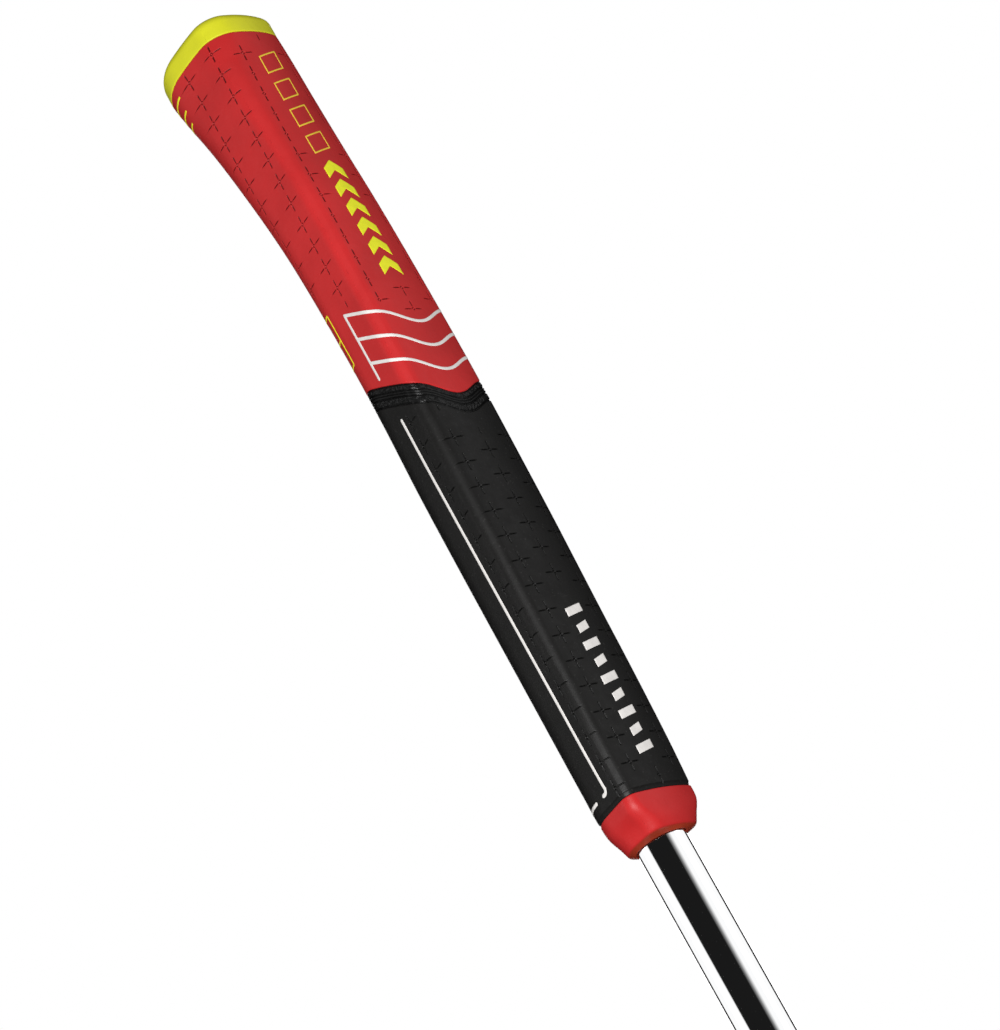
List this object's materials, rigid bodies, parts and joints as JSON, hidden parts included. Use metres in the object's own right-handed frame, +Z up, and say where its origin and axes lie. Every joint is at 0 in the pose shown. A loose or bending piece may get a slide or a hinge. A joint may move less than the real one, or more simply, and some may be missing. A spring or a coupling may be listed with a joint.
{
  "type": "golf grip",
  "caption": "Pistol-shaped rubber golf grip with a broad thumb face, butt cap, wavy two-colour sleeves and a mouth collar, seated over tape on the end of a steel shaft.",
  "frame": {"origin": "centre of the shaft's cut lower end, on the shaft axis", "axes": "+Z up the shaft axis to the butt cap, -Y out of the broad thumb face, +X across that face; the shape is mirrored about the YZ plane"},
  "size_m": [0.0312, 0.0371, 0.3617],
  "materials": {
    "steel": "bright plated steel",
    "tape": "creped paper tape with adhesive on both sides",
    "rubber_liner": "moulded, matte",
    "rubber_red": "soft moulded, matte",
    "rubber_black": "soft moulded, matte",
    "rubber_band": "moulded, half gloss ridges",
    "rubber_yellow": "soft moulded, matte",
    "paint_white": "paint fill in a shallow groove",
    "paint_yellow": "paint fill in a shallow groove",
    "paint_gold": "paint fill in a shallow groove"
  },
  "bodies": {
    "shaft": {"shaft": "steel", "grip_tape": "tape"},
    "grip": {"liner_tube": "rubber_liner", "mouth_collar": "rubber_red", "lower_sleeve": "rubber_black", "transition_band": "rubber_band", "upper_sleeve": "rubber_red", "butt_cap": "rubber_yellow", "wave_lines": "paint_white", "side_line_left": "paint_white", "side_line_right": "paint_white", "back_arc": "paint_white", "bar_mark_1": "paint_white", "bar_mark_2": "paint_white", "bar_mark_3": "paint_white", "bar_mark_4": "paint_white", "bar_mark_5": "paint_white", "bar_mark_6": "paint_white", "bar_mark_7": "paint_white", "bar_mark_8": "paint_white", "bar_mark_9": "paint_white", "back_frame": "paint_yellow", "back_stroke_1": "paint_yellow", "back_stroke_2": "paint_yellow", "back_stroke_3": "paint_yellow", "chevron_mark_1": "paint_yellow", "chevron_mark_2": "paint_yellow", "chevron_mark_3": "paint_yellow", "chevron_mark_4": "paint_yellow", "chevron_mark_5": "paint_yellow", "chevron_mark_6": "paint_yellow", "outline_mark_1": "paint_gold", "outline_mark_2": "paint_gold", "outline_mark_3": "paint_gold", "outline_mark_4": "paint_gold"}
  },
  "joints": [
    {"name": "grip_slide", "type": "slide", "parent": "shaft", "child": "grip", "axis": [0, 0, 1], "range_m": [0, 0.285]}
  ]
}
